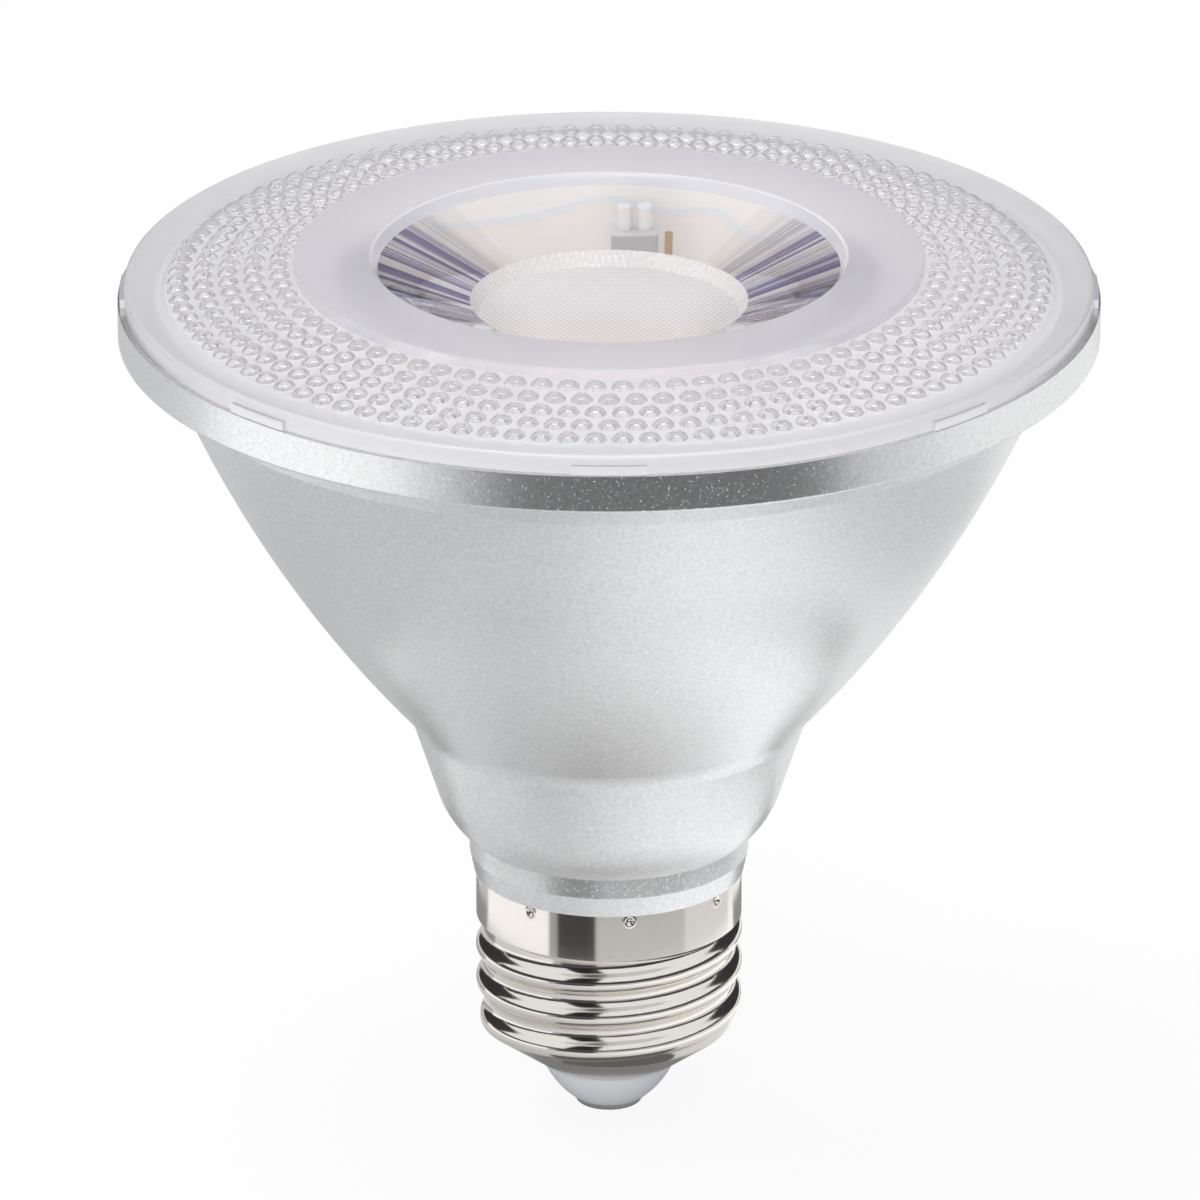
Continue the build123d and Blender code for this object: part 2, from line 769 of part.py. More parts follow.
# Controller chip with its two rows of legs
controller_width, controller_depth, controller_height = controller_size
with BuildPart() as driver_chip:
    with BuildSketch(minus_face.offset(lead_radius / 2)):
        with Locations(controller_place):
            Rectangle(controller_width, controller_height)
    extrude(amount=controller_depth)
    with BuildSketch(minus_face):
        with Locations(controller_place):
            with GridLocations(controller_width / 4, 1, 4, 1):
                Rectangle(lead_radius, controller_height + 6 * lead_radius)
    extrude(amount=lead_radius)

# Output diode, a moulded block with a draft all round
diode_width, diode_depth, diode_height = diode_size
with BuildPart() as output_diode:
    with BuildSketch(minus_face):
        with Locations(diode_place):
            Rectangle(diode_width, diode_height)
    extrude(amount=diode_depth)
    chamfer(output_diode.faces().sort_by(Axis.Y)[0].edges(), diode_depth / 6)


def wire_along(points):
    """Round wire along straight runs joined by tangent arcs."""
    with BuildPart(mode=Mode.PRIVATE) as wire:
        with BuildLine() as route:
            FilletPolyline(*points, radius=wire_bend)
        with BuildSketch(Plane(route.line @ 0, z_dir=route.line % 0)):
            Circle(wire_radius)
        sweep(path=route.line)
    return wire.part


# Wires from the tongue to the cap: one to the contact's shank, one pinched under the shell
cap_wire_y = -board_face - cap_wire_stand
live_wire_level = spigot_foot + wire_radius
neutral_wire_level = (insulator_top + spigot_foot) / 2
neutral_wire_reach = spigot_radius - wire_radius
with BuildPart() as live_wire:
    add(
        wire_along(
            [
                (live_wire_x, -board_face, cap_wire_top),
                (live_wire_x, cap_wire_y, cap_wire_top),
                (live_wire_x, cap_wire_y, live_wire_level),
                (0, 0, live_wire_level),
                (0, 0, insulator_top),
            ]
        )
    )

with BuildPart() as neutral_wire:
    add(
        wire_along(
            [
                (neutral_wire_x, -board_face, cap_wire_top),
                (neutral_wire_x, cap_wire_y, cap_wire_top),
                (neutral_wire_x, cap_wire_y, neutral_wire_level),
                (-neutral_wire_reach, 0, neutral_wire_level),
                (-neutral_wire_reach, 0, spigot_foot + neutral_wire_rise),
            ]
        )
    )

# Wires from the driver board up through the deck into the connector
led_wire_foot = driver_board_top - led_wire_drop
led_wire_level = (driver_board_top + deck_foot) / 2


def led_wire_points(offset):
    """Route of the wire that enters the connector this far from its middle."""
    foot_x = led_wire_x + offset
    top_x = connector_x + offset
    return [
        (foot_x, board_face, led_wire_foot),
        (foot_x, board_face + led_wire_stand, led_wire_foot),
        (foot_x, board_face + led_wire_stand, led_wire_level),
        (top_x, connector_y, led_wire_level),
        (top_x, connector_y, led_board_top + wire_entry - slide_fit),
    ]


with BuildPart() as led_wire_positive:
    add(wire_along(led_wire_points(led_wire_pitch / 2)))

with BuildPart() as led_wire_negative:
    add(wire_along(led_wire_points(-led_wire_pitch / 2)))

# One file for each piece, from the cap up to the lens
pieces = {
    "centre_contact": centre_contact,
    "base_insulator": base_insulator,
    "screw_shell": screw_shell,
    "housing": housing,
    "driver_board": driver_board,
    "fuse_resistor": fuse_resistor,
    "surge_varistor": surge_varistor,
    "input_choke": input_choke,
    "bridge_rectifier": bridge_rectifier,
    "film_capacitor": film_capacitor,
    "output_capacitor": output_capacitor,
    "transformer_core": transformer_core,
    "transformer_bobbin": transformer_bobbin,
    "transformer_winding": transformer_winding,
    "power_switch": power_switch,
    "driver_chip": driver_chip,
    "output_diode": output_diode,
    "live_wire": live_wire,
    "neutral_wire": neutral_wire,
    "led_wire_positive": led_wire_positive,
    "led_wire_negative": led_wire_negative,
    "heat_sink_cup": heat_sink_cup,
    "thermal_pad": thermal_pad,
    "led_board": led_board,
    "led_substrate": led_substrate,
    "led_dam": led_dam,
    "led_phosphor": led_phosphor,
    "board_screws": board_screws,
    "wire_connector": wire_connector,
    "test_blade": test_blade,
    "front_lens": front_lens,
}
for name, piece in pieces.items():
    piece.part.label = name
    export_step(piece.part, f"parts/{name}.step")
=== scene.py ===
import bpy
import numpy as np
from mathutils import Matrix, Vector


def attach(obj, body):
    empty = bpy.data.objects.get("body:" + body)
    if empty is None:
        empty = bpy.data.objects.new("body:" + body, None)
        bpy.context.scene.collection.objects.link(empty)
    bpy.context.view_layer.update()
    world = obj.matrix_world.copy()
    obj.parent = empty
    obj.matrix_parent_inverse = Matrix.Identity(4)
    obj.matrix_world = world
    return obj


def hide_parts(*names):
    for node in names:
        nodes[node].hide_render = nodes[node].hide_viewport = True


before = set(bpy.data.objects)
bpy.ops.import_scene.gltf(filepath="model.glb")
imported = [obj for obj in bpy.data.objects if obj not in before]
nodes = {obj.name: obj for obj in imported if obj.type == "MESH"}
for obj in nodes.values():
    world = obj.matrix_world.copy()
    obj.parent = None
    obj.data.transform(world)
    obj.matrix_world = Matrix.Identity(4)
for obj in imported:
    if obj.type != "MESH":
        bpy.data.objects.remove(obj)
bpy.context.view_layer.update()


# Housing: one moulding from the cap's spigot to the rim band, sprayed with a metallic silver
# paint. The flakes lie at slightly different angles, so the paint has a fine sparkling grain.
def finish_step(tree, kind, inputs, **settings):
    """Adds one shader node: an input that is a socket is linked, and any other is its value."""
    step = tree.nodes.new("ShaderNode" + kind)
    for name, value in settings.items():
        setattr(step, name, value)
    for socket, value in inputs.items():
        if isinstance(value, bpy.types.NodeSocket):
            tree.links.new(value, step.inputs[socket])
        else:
            step.inputs[socket].default_value = value
    return step


def grain_group():
    """Shader group: a colour scaled by fine noise and a roughness scaled by slow noise, both in
    object space. Each scale is 1 plus the noise about its middle, times the amount."""
    group = bpy.data.node_groups.new("surface_variation", "ShaderNodeTree")
    for name, kind, way in (
        ("Color", "NodeSocketColor", "INPUT"),
        ("Roughness", "NodeSocketFloat", "INPUT"),
        ("Grain Scale", "NodeSocketFloat", "INPUT"),
        ("Color Amount", "NodeSocketFloat", "INPUT"),
        ("Roughness Amount", "NodeSocketFloat", "INPUT"),
        ("Color", "NodeSocketColor", "OUTPUT"),
        ("Roughness", "NodeSocketFloat", "OUTPUT"),
        ("Height", "NodeSocketFloat", "OUTPUT"),
    ):
        group.interface.new_socket(name, in_out=way, socket_type=kind)
    given = group.nodes.new("NodeGroupInput").outputs
    result = group.nodes.new("NodeGroupOutput").inputs
    place = finish_step(group, "TexCoord", {}).outputs["Object"]
    grain = finish_step(
        group, "TexNoise", {"Vector": place, "Scale": given["Grain Scale"], "Detail": 3}
    ).outputs["Fac"]
    cloud = finish_step(group, "TexNoise", {"Vector": place, "Scale": 60}).outputs["Fac"]

    def around_one(noise, amount):
        """1 plus the noise about its middle, times the amount."""
        swing = finish_step(group, "Math", {0: noise, 1: 0.5}, operation="SUBTRACT").outputs[0]
        scaled = {0: swing, 1: amount, 2: 1.0}
        return finish_step(group, "Math", scaled, operation="MULTIPLY_ADD").outputs[0]

    mottled = {0: given["Color"], "Scale": around_one(grain, given["Color Amount"])}
    clouded = {0: given["Roughness"], 1: around_one(cloud, given["Roughness Amount"])}
    tint = finish_step(group, "VectorMath", mottled, operation="SCALE").outputs[0]
    rough = finish_step(group, "Math", clouded, operation="MULTIPLY").outputs[0]
    for name, socket in (("Color", tint), ("Roughness", rough), ("Height", grain)):
        group.links.new(socket, result[name])
    return group


surface_variation = grain_group()


def lamp_finish(name, color, roughness, metallic=0.0, grain=900, mottle=0.1, cloud=0.3, relief=0.05):
    """Material with grain in its colour, slow clouds in its roughness and a low relief."""
    made = bpy.data.materials.new(name)
    made.use_nodes = True
    tree = made.node_tree
    shader = tree.nodes["Principled BSDF"]
    shader.inputs["Metallic"].default_value = metallic
    varied = finish_step(
        tree,
        "Group",
        {
            "Color": (*color, 1),
            "Roughness": roughness,
            "Grain Scale": grain,
            "Color Amount": mottle,
            "Roughness Amount": cloud,
        },
        node_tree=surface_variation,
    ).outputs
    bumps = {"Height": varied["Height"], "Strength": relief, "Distance": 0.0002}
    normal = finish_step(tree, "Bump", bumps).outputs["Normal"]
    tree.links.new(varied["Color"], shader.inputs["Base Color"])
    tree.links.new(varied["Roughness"], shader.inputs["Roughness"])
    tree.links.new(normal, shader.inputs["Normal"])
    return made


def dress(node, made):
    """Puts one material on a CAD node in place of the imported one."""
    nodes[node].data.materials.clear()
    nodes[node].data.materials.append(made)


silver_paint = lamp_finish(
    "silver_paint", (0.77, 0.775, 0.78), 0.33, 0.92, grain=2600, mottle=0.4, cloud=0.12, relief=0.0
)
tree = silver_paint.node_tree
place = finish_step(tree, "TexCoord", {}).outputs["Object"]
flake = finish_step(tree, "TexVoronoi", {"Vector": place, "Scale": 9000}).outputs["Color"]
draw = finish_step(tree, "SeparateXYZ", {0: flake}).outputs["Z"]
rare = finish_step(tree, "Math", {0: draw, 1: 16}, operation="POWER").outputs[0]
reach = finish_step(tree, "MapRange", {"Value": rare, "To Min": 0.035, "To Max": 0.52}).outputs["Result"]
aside = finish_step(tree, "VectorMath", {0: flake, 1: (0.5, 0.5, 1.5)}, operation="SUBTRACT").outputs[0]
lean = finish_step(tree, "VectorMath", {0: aside, "Scale": reach}, operation="SCALE").outputs[0]
upright = finish_step(tree, "NewGeometry", {}).outputs["Normal"]
tipped = finish_step(tree, "VectorMath", {0: lean, 1: upright}, operation="ADD").outputs[0]
flake_normal = finish_step(tree, "VectorMath", {0: tipped}, operation="NORMALIZE").outputs[0]
tree.links.new(flake_normal, tree.nodes["Principled BSDF"].inputs["Normal"])
dress("housing", silver_paint)


# Screw shell: drawn from brass sheet with the thread rolled in, nickel plated and pressed over
# the housing's spigot, where eight punch marks below its top edge hold it.
shell_sheet = 0.35
mouth_radius, mouth_height, skirt_height, skirt_rounding = 6.75, 4.75, 3.95, 1.4
root_radius, barrel_radius, crest_radius = 12.2, 13.05, 13.1
shoulder_foot, shoulder_top, shell_top = 19.55, 20.25, 25.0
thread_pitch, thread_depth, thread_arc, thread_turns = 3.629, 0.9, 1.14, 3.0
thread_start, thread_start_angle, thread_fade = 9.08, np.radians(139), 0.22
punch_count, punch_first_angle, punch_height = 8, 9, 24.4
punch_radius, punch_depth, punch_lip, punch_lip_radius, punch_lip_width = 0.46, 0.26, 0.03, 0.53, 0.1
root_top, root_row, inner_root_row = 19.5, 0.15, 0.3
punched_foot, punched_top, punched_row = 23.5, 24.96, 0.09


def lamp_mesh(name, points, triangles, finishes, sharp):
    """Object in metres from points in millimetres; equal points become one and empty faces go. Edges
    that turn by more than sharp degrees stay sharp."""
    _, first, which = np.unique(np.round(points, 5), axis=0, return_index=True, return_inverse=True)
    faces = which.reshape(-1)[triangles]
    whole = (faces[:, 0] != faces[:, 1]) & (faces[:, 1] != faces[:, 2]) & (faces[:, 2] != faces[:, 0])
    mesh = bpy.data.meshes.new(name)
    mesh.from_pydata(points[first] / 1000, [], faces[whole])
    mesh.shade_smooth()
    mesh.set_sharp_from_angle(angle=np.radians(sharp))
    for made in finishes:
        mesh.materials.append(made)
    piece = bpy.data.objects.new(name, mesh)
    bpy.context.scene.collection.objects.link(piece)
    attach(piece, "root")
    return piece


def spun_triangles(rows, columns):
    """Two triangles for each cell of a grid of points whose columns close round the axis."""
    row, column = np.mgrid[0 : rows - 1, 0:columns]
    here, beside = row * columns + column, row * columns + (column + 1) % columns
    return np.concatenate(
        [
            np.stack([here, beside, beside + columns], -1).reshape(-1, 3),
            np.stack([here, beside + columns, here + columns], -1).reshape(-1, 3),
        ]
    )


def shell_profile(depth):
    """Plain shell from its mouth to its top edge, on the skin or this deep under it: a cone, an arc
    that turns it upright, the root, a short cone up to the barrel, and the barrel."""
    slope = skirt_height / (root_radius - mouth_radius)
    shift = depth * np.hypot(1, slope)
    turn, bend = np.arctan2(1, slope), skirt_rounding + depth
    corner = mouth_height + skirt_height + shift - depth * slope
    swing = np.linspace(-turn, 0, 11)
    arc_r = root_radius - depth - bend + bend * np.cos(swing)
    arc_z = corner + bend * np.tan(turn / 2) + bend * np.sin(swing)
    cone_r = np.linspace(mouth_radius, arc_r[0], 9)[:-1]
    cone_z = np.interp(cone_r, [mouth_radius, arc_r[0]], [mouth_height + shift, arc_z[0]])
    root_z = np.arange(arc_z[-1] + root_row, root_top, root_row if depth == 0 else inner_root_row)
    shoulder_z = [shoulder_foot, 19.75, 19.95, 20.15, shoulder_top]
    barrel_z = [20.45, 21.5, 22.7]
    punched_z = np.arange(punched_foot, punched_top, punched_row)
    upper_z = np.concatenate([root_z, shoulder_z, barrel_z, punched_z, [shell_top]])
    upper_r = np.interp(upper_z, [shoulder_foot, shoulder_top], [root_radius - depth, barrel_radius - depth])
    return np.concatenate([cone_r, arc_r, upper_r]), np.concatenate([cone_z, arc_z, upper_z])


def thread_lift(angle, height, plain):
    """How far the rolled thread stands out: a wave of two equal arcs per pitch about the helix,
    which fades in and out over a fifth of a turn, and less where the shell is wide already."""
    quarter = thread_pitch / 4
    turned = np.mod(angle - thread_start_angle, 2 * np.pi) / (2 * np.pi)
    climb = (height - thread_start) / thread_pitch - turned
    crest = np.round(climb)
    away = np.abs(climb - crest) * thread_pitch
    near = np.sqrt(thread_arc**2 - np.minimum(away, quarter) ** 2) - thread_arc + thread_depth
    far = thread_arc - np.sqrt(thread_arc**2 - np.minimum(2 * quarter - away, quarter) ** 2)
    wave = np.where(away < quarter, near, far) / thread_depth
    along = crest + turned
    fade = np.clip(along / thread_fade, 0, 1) * np.clip((thread_turns - along) / thread_fade, 0, 1)
    return wave * fade**2 * (3 - 2 * fade) * np.clip(crest_radius - plain, 0, thread_depth)


def punch_sink(angle, height):
    """How deep the punch marks are: a bowl with a low lip round it, at even steps of angle."""
    half = np.pi / punch_count
    nearest = np.mod(angle - np.radians(punch_first_angle) + half, 2 * half) - half
    away = np.hypot(nearest * barrel_radius, height - punch_height)
    bowl = punch_depth * np.clip(1 - (away / punch_radius) ** 2, 0, None) ** 1.5
    return bowl - punch_lip * np.exp(-(((away - punch_lip_radius) / punch_lip_width) ** 2))


# Columns of points stand close together over a punch mark and wider apart between two marks, at
# these degrees from the mark.
fine, coarse = np.arange(-2.4, 2.41, 0.3), np.arange(2.7, 22.4, 0.9)
sector = np.radians(np.concatenate([-coarse[::-1], fine, coarse]))
punch_angles = np.radians(punch_first_angle + 360 / punch_count * np.arange(punch_count))
angle = (punch_angles[:, None] + sector).reshape(-1)
skins = []
for depth in (0, shell_sheet):
    plain, height = (row[:, None] for row in shell_profile(depth))
    punched = punch_sink(angle, height) * (height >= punched_foot)
    radius = plain + thread_lift(angle, height, plain + depth) - punched
    skins.append(np.stack([radius * np.cos(angle), radius * np.sin(angle), height + 0 * angle], -1))
skin = np.concatenate([skins[0], skins[1][::-1], skins[0][:1]])

nickel = lamp_finish(
    "nickel_shell", (0.8, 0.77, 0.72), 0.13, 1.0, grain=1500, mottle=0.06, cloud=0.5, relief=0.015
)
tree = nickel.node_tree
place = finish_step(tree, "TexCoord", {}).outputs["Object"]
drawn = finish_step(tree, "Mapping", {"Vector": place, "Scale": (60, 60, 9000)}).outputs["Vector"]
lines = finish_step(tree, "TexNoise", {"Vector": drawn, "Scale": 1}).outputs["Fac"]
scored = finish_step(tree, "Bump", {"Height": lines, "Strength": 0.03, "Distance": 0.0001}).outputs["Normal"]
tree.links.new(scored, tree.nodes["Principled BSDF"].inputs["Normal"])
shell_faces = spun_triangles(len(skin), len(angle))
shell = lamp_mesh("shell", skin.reshape(-1, 3), shell_faces, [nickel], sharp=50)
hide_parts("screw_shell")

# Base insulator: a white nose moulded from thermoset with a satin skin. It sits inside the
# shell's mouth and keeps the contact apart from the shell.
white_plastic = lamp_finish(
    "white_plastic", (0.64, 0.645, 0.67), 0.32, grain=1400, mottle=0.04, cloud=0.2, relief=0.03
)
dress("base_insulator", white_plastic)

# Centre contact: a disc pressed from brass and plated bright. Its shank goes through the
# insulator and is riveted there.
contact_metal = lamp_finish(
    "contact_metal", (0.9, 0.9, 0.88), 0.28, 1.0, grain=2200, mottle=0.08, cloud=0.4, relief=0.08
)
dress("centre_contact", contact_metal)

# Driver board: glass fibre laminate under a green solder mask. It stands on the ledge in the
# neck, slid into the housing's guides.
green_board = lamp_finish("green_board", (0.03, 0.17, 0.07), 0.35, grain=3000, mottle=0.25, relief=0.1)
dress("driver_board", green_board)

# Fusible resistor: a ceramic core under a pale blue dipped lacquer, soldered to the board by
# its two leads.
resistor_coat = lamp_finish("resistor_coat", (0.13, 0.32, 0.38), 0.3, grain=2000, mottle=0.15, relief=0.1)
dress("fuse_resistor", resistor_coat)

# Varistor: a sintered disc dipped in blue epoxy, which stands on its two leads and takes up
# surges from the mains.
varistor_coat = lamp_finish("varistor_coat", (0.02, 0.05, 0.3), 0.3, grain=1800, mottle=0.2, relief=0.15)
dress("surge_varistor", varistor_coat)

# Moulded black parts: the choke's drum, the rectifier, the switch, the chip, the diode and the
# transformer's bobbin are all moulded or sleeved in black and soldered to the board.
black_plastic = lamp_finish(
    "black_plastic", (0.016, 0.016, 0.018), 0.45, grain=3500, mottle=0.4, relief=0.15
)
for node in (
    "input_choke",
    "bridge_rectifier",
    "power_switch",
    "driver_chip",
    "output_diode",
    "transformer_bobbin",
):
    dress(node, black_plastic)

# Film capacitor: a wound block of metallised foil, dipped in a red brown lacquer and soldered
# upright on the board.
film_coat = lamp_finish("film_coat", (0.17, 0.02, 0.012), 0.2, grain=1200, mottle=0.2, relief=0.1)
dress("film_capacitor", film_coat)

# Output capacitor: a drawn aluminium can with a crimped groove, in a black shrink sleeve and
# soldered to the board.
sleeved_can = lamp_finish("sleeved_can", (0.02, 0.02, 0.024), 0.25, mottle=0.3)
dress("output_capacitor", sleeved_can)

# Transformer core: two halves of pressed and ground ferrite, glued together round the bobbin.
# Their skin is dull and slightly metallic.
ferrite = lamp_finish("ferrite", (0.06, 0.06, 0.064), 0.6, 0.2, grain=4000, mottle=0.4, relief=0.3)
dress("transformer_core", ferrite)

# Transformer winding: copper wire wound on the bobbin and closed with glossy yellow polyester
# tape.
winding_tape = lamp_finish("winding_tape", (0.55, 0.36, 0.03), 0.22, grain=700, mottle=0.15)
dress("transformer_winding", winding_tape)

# Wires: stranded copper in red and white extruded insulation, soldered to the board and pushed
# into the connector, or led to the contact and the shell.
red_wire = lamp_finish("red_wire", (0.4, 0.012, 0.01), 0.4, grain=2500, mottle=0.2, relief=0.1)
white_wire = lamp_finish("white_wire", (0.7, 0.7, 0.66), 0.4, grain=2500, relief=0.1)
for node in ("live_wire", "led_wire_positive"):
    dress(node, red_wire)
for node in ("neutral_wire", "led_wire_negative"):
    dress(node, white_wire)

# Heat sink cup: spun from aluminium sheet with a satin, nearly white skin. It hangs by its
# flange on a seat under the lens's rim.
aluminium_cup = lamp_finish(
    "aluminium_cup", (0.84, 0.805, 0.765), 0.5, grain=1600, mottle=0.05, cloud=0.2
)
dress("heat_sink_cup", aluminium_cup)

# Thermal pad: a sheet of filled grey silicone, pressed between the cup's deck and the light
# source's board.
grey_pad = lamp_finish("grey_pad", (0.17, 0.185, 0.21), 0.7, grain=2600, mottle=0.2, cloud=0.2, relief=0.2)
dress("thermal_pad", grey_pad)

# Light source board: a round metal core board under a white solder mask, screwed down on the
# pad.
white_board = lamp_finish("white_board", (0.87, 0.85, 0.82), 0.3, grain=1800, mottle=0.05, cloud=0.2)
dress("led_board", white_board)

# Substrate of the light source: a square of fired white ceramic that carries the dies,
# soldered to the board.
ceramic = lamp_finish("ceramic", (0.84, 0.84, 0.8), 0.45, grain=3000, mottle=0.06, cloud=0.2, relief=0.1)
dress("led_substrate", ceramic)

# Dam: a ring of white silicone, laid on the substrate with a needle and cured, which holds the
# phosphor in.
white_silicone = lamp_finish(
    "white_silicone", (0.88, 0.88, 0.88), 0.35, grain=1500, mottle=0.04, cloud=0.2, relief=0.1
)
dress("led_dam", white_silicone)

# Phosphor: yellow powder stirred into silicone and poured inside the dam, over the dies of the
# light source.
phosphor = lamp_finish("phosphor", (0.86, 0.5, 0.06), 0.4, grain=6000, mottle=0.12, cloud=0.2, relief=0.1)
dress("led_phosphor", phosphor)

# Board screws: zinc plated steel with pan heads, driven through the board and the pad into the
# cup's deck.
steel_screws = lamp_finish(
    "steel_screws", (0.5, 0.5, 0.49), 0.3, 1.0, grain=2600, mottle=0.12, cloud=0.4, relief=0.1
)
dress("board_screws", steel_screws)

# Wire connector: a grey moulded block with two paler, round release pegs, soldered to the board
# over the hole that the wires come up through.
grey_plastic = lamp_finish(
    "grey_plastic", (0.43, 0.42, 0.425), 0.4, grain=2200, mottle=0.08, cloud=0.2, relief=0.1
)
pegs_foot, pegs_pale_from = 0.0782, 0.0788
tree = grey_plastic.node_tree
block_color = tree.nodes["Principled BSDF"].inputs["Base Color"]
place = finish_step(tree, "TexCoord", {}).outputs["Object"]
level = finish_step(tree, "SeparateXYZ", {0: place}).outputs["Z"]
pegs = finish_step(
    tree, "MapRange", {"Value": level, "From Min": pegs_foot, "From Max": pegs_pale_from}
).outputs["Result"]
paler = {"Factor": pegs, "A": block_color.links[0].from_socket, "B": (0.78, 0.77, 0.76, 1)}
tree.links.new(finish_step(tree, "Mix", paler, data_type="RGBA").outputs["Result"], block_color)
dress("wire_connector", grey_plastic)

# Test blade: a narrow strip stamped from brass sheet, soldered on edge to the board beside the
# connector.
brass_blade = lamp_finish("brass_blade", (0.5, 0.36, 0.2), 0.4, 0.6, grain=2400, mottle=0.15, relief=0.1)
dress("test_blade", brass_blade)


# Front lens: one clear polycarbonate moulding, snapped into the rim by eight ears. Its plateau is
# frosted; the dish and the collimator under it are polished, and five rings of domes spread light.
plateau_height, plateau_foot, plateau_radius, plateau_rounding = 89.0, 88.0, 30.55, 0.15
disc_height, disc_radius, dish_foot_radius, dish_foot = 83.1, 12.6, 13.5, 84.5
dish_radius, dish_rounding, lip_radius, lip_foot = 23.05, 0.45, 22.4, 87.9
dish_steps = [(16, 85.455), (19, 86.601)]
domes_radius, domes_foot, domes_slope = 43.1, 86.2, 1.8 / 12.55
dome_radius, dome_rise, dome_cell_half, dome_spokes = 1.09, 0.68, 1.2, 16
ring_count, first_ring_radius, ring_spacing, first_ring_domes, ring_step = 5, 41.8, 2.46, 102, 6
flange_step, rim_rounding = (44.5, 86.384), 0.4
rim_radius, rim_inner_radius, rim_top, rim_foot, plate_underside = 46.97, 43.4, 86.7, 83.05, 84.4
ear_count, ear_radius, ear_root_radius, ear_top, ear_foot = 8, 47.4, 46.9, 85.75, 84.85
ear_half_width, ear_side_gap = 3.5, 1e-6
collimator_radius, collimator_foot_radius, collimator_foot, collimator_bulge = 27.5, 8.6, 69.0, 1.7
pocket_mouth_radius, pocket_radius, pocket_top, pocket_crown = 6.6, 6.2, 75.0, 73.8


def turned(profile, around):
    """Rows of points for a profile of (radius, height) pairs turned through the angles."""
    radius, height = np.array(profile, float).T[:, :, None]
    return np.stack([radius * np.cos(around), radius * np.sin(around), height + 0 * around], -1)


def rounded(before, corner, after, radius, count=6):
    """Points of the arc of this radius that rounds the corner between two straight runs."""
    before, corner, after = (np.array(p, float) for p in (before, corner, after))
    towards, onwards = before - corner, after - corner
    towards, onwards = towards / np.hypot(*towards), onwards / np.hypot(*onwards)
    half = np.arccos(np.clip(towards @ onwards, -1, 1)) / 2
    middle = corner + (towards + onwards) / np.hypot(*(towards + onwards)) * radius / np.sin(half)
    start, end = (corner + way * radius / np.tan(half) - middle for way in (towards, onwards))
    share = np.linspace(0, 1, count)[:, None]
    spread = start * (1 - share) + end * share
    return (middle + radius * spread / np.hypot(spread[:, :1], spread[:, 1:])).tolist()


def hollow_arc(start, end, bulge, count):
    """Points of an arc between two points whose middle lies the bulge to the right of the chord."""
    start, end = np.array(start, float), np.array(end, float)
    chord = np.hypot(*(end - start))
    along = (end - start) / chord
    right = np.array([along[1], -along[0]])
    radius = (chord**2 / 4 + bulge**2) / (2 * bulge)
    step = np.linspace(-chord / 2, chord / 2, count)[:, None]
    rise = np.sqrt(radius**2 - step**2) - (radius - bulge)
    return ((start + end) / 2 + along * step + right * rise).tolist()


def zipped(inner, outer):
    """Triangles between two loops of points round the axis that may have different counts: each
    edge of a loop takes the last point that the other loop has passed by then."""
    passed = []
    for loop in (inner, outer):
        around = np.unwrap(np.arctan2(loop[:, 1], loop[:, 0]))
        passed.append(np.append(around, around[0] + 2 * np.pi))
    passed[1] += 2 * np.pi * np.round((passed[0][0] - passed[1][0]) / (2 * np.pi))
    here, there = np.arange(len(inner)), np.arange(len(outer))
    met = np.searchsorted(passed[1][1:], passed[0][1:], "right") % len(outer)
    left = np.searchsorted(passed[0][1:], passed[1][1:], "left") % len(inner)
    return np.concatenate(
        [
            np.stack([here, len(inner) + met, (here + 1) % len(inner)], -1),
            np.stack([left, len(inner) + there, len(inner) + (there + 1) % len(outer)], -1),
        ]
    )


def dome_ring(middle, count):
    """One ring of domes on the cone round the plateau. Each cell of the ring is a spherical cap in
    polar steps, joined by spokes to the cell's four sides. Gives points, triangles and edge loops."""
    tilt = np.arctan(domes_slope)
    spoke = np.arange(dome_spokes) * 2 * np.pi / dome_spokes
    share = np.array([0.3, 0.57, 0.79, 0.93, 1.0])[:, None] * dome_radius
    out = np.stack([share * np.cos(spoke), share * np.sin(spoke)], -1)
    side = np.stack([np.cos(spoke), np.sin(spoke)], -1)
    side = side / np.abs(side).max(-1, keepdims=True) * [np.pi * middle / count, dome_cell_half]
    flat = np.concatenate([[[0, 0]], out.reshape(-1, 2), side])
    ball = (dome_radius**2 + dome_rise**2) / (2 * dome_rise)
    away = np.minimum(np.hypot(*flat.T), dome_radius)
    lift = np.sqrt(ball**2 - away**2) - (ball - dome_rise)
    lift[-dome_spokes:] = 0
    cell = 2 * np.pi * np.arange(count)[:, None] / count + flat[:, 0] / middle
    radius = middle + flat[:, 1] * np.cos(tilt) + lift * np.sin(tilt)
    cone = domes_foot + (domes_radius - middle) * domes_slope
    height = cone - flat[:, 1] * np.sin(tilt) + lift * np.cos(tilt)
    points = np.stack([radius * np.cos(cell), radius * np.sin(cell), height + 0 * cell], -1)
    here = np.arange(dome_spokes)
    beside = (here + 1) % dome_spokes
    faces = [np.stack([0 * here, 1 + beside, 1 + here], -1)]
    for low in 1 + dome_spokes * np.arange(len(share)):
        high = low + dome_spokes
        faces += [
            np.stack([low + here, low + beside, high + beside], -1),
            np.stack([low + here, high + beside, high + here], -1),
        ]
    faces = np.concatenate(faces)[None] + (np.arange(count) * len(flat))[:, None, None]
    # Spokes 10 to 13 end on the inner side of the cell, and spokes 6 to 3 on its outer side.
    edge = len(flat) - dome_spokes
    inner, outer = points[:, edge + np.array([10, 11, 12, 13])], points[:, edge + np.array([6, 5, 4, 3])]
    return points.reshape(-1, 3), faces.reshape(-1, 3), inner.reshape(-1, 3), outer.reshape(-1, 3)


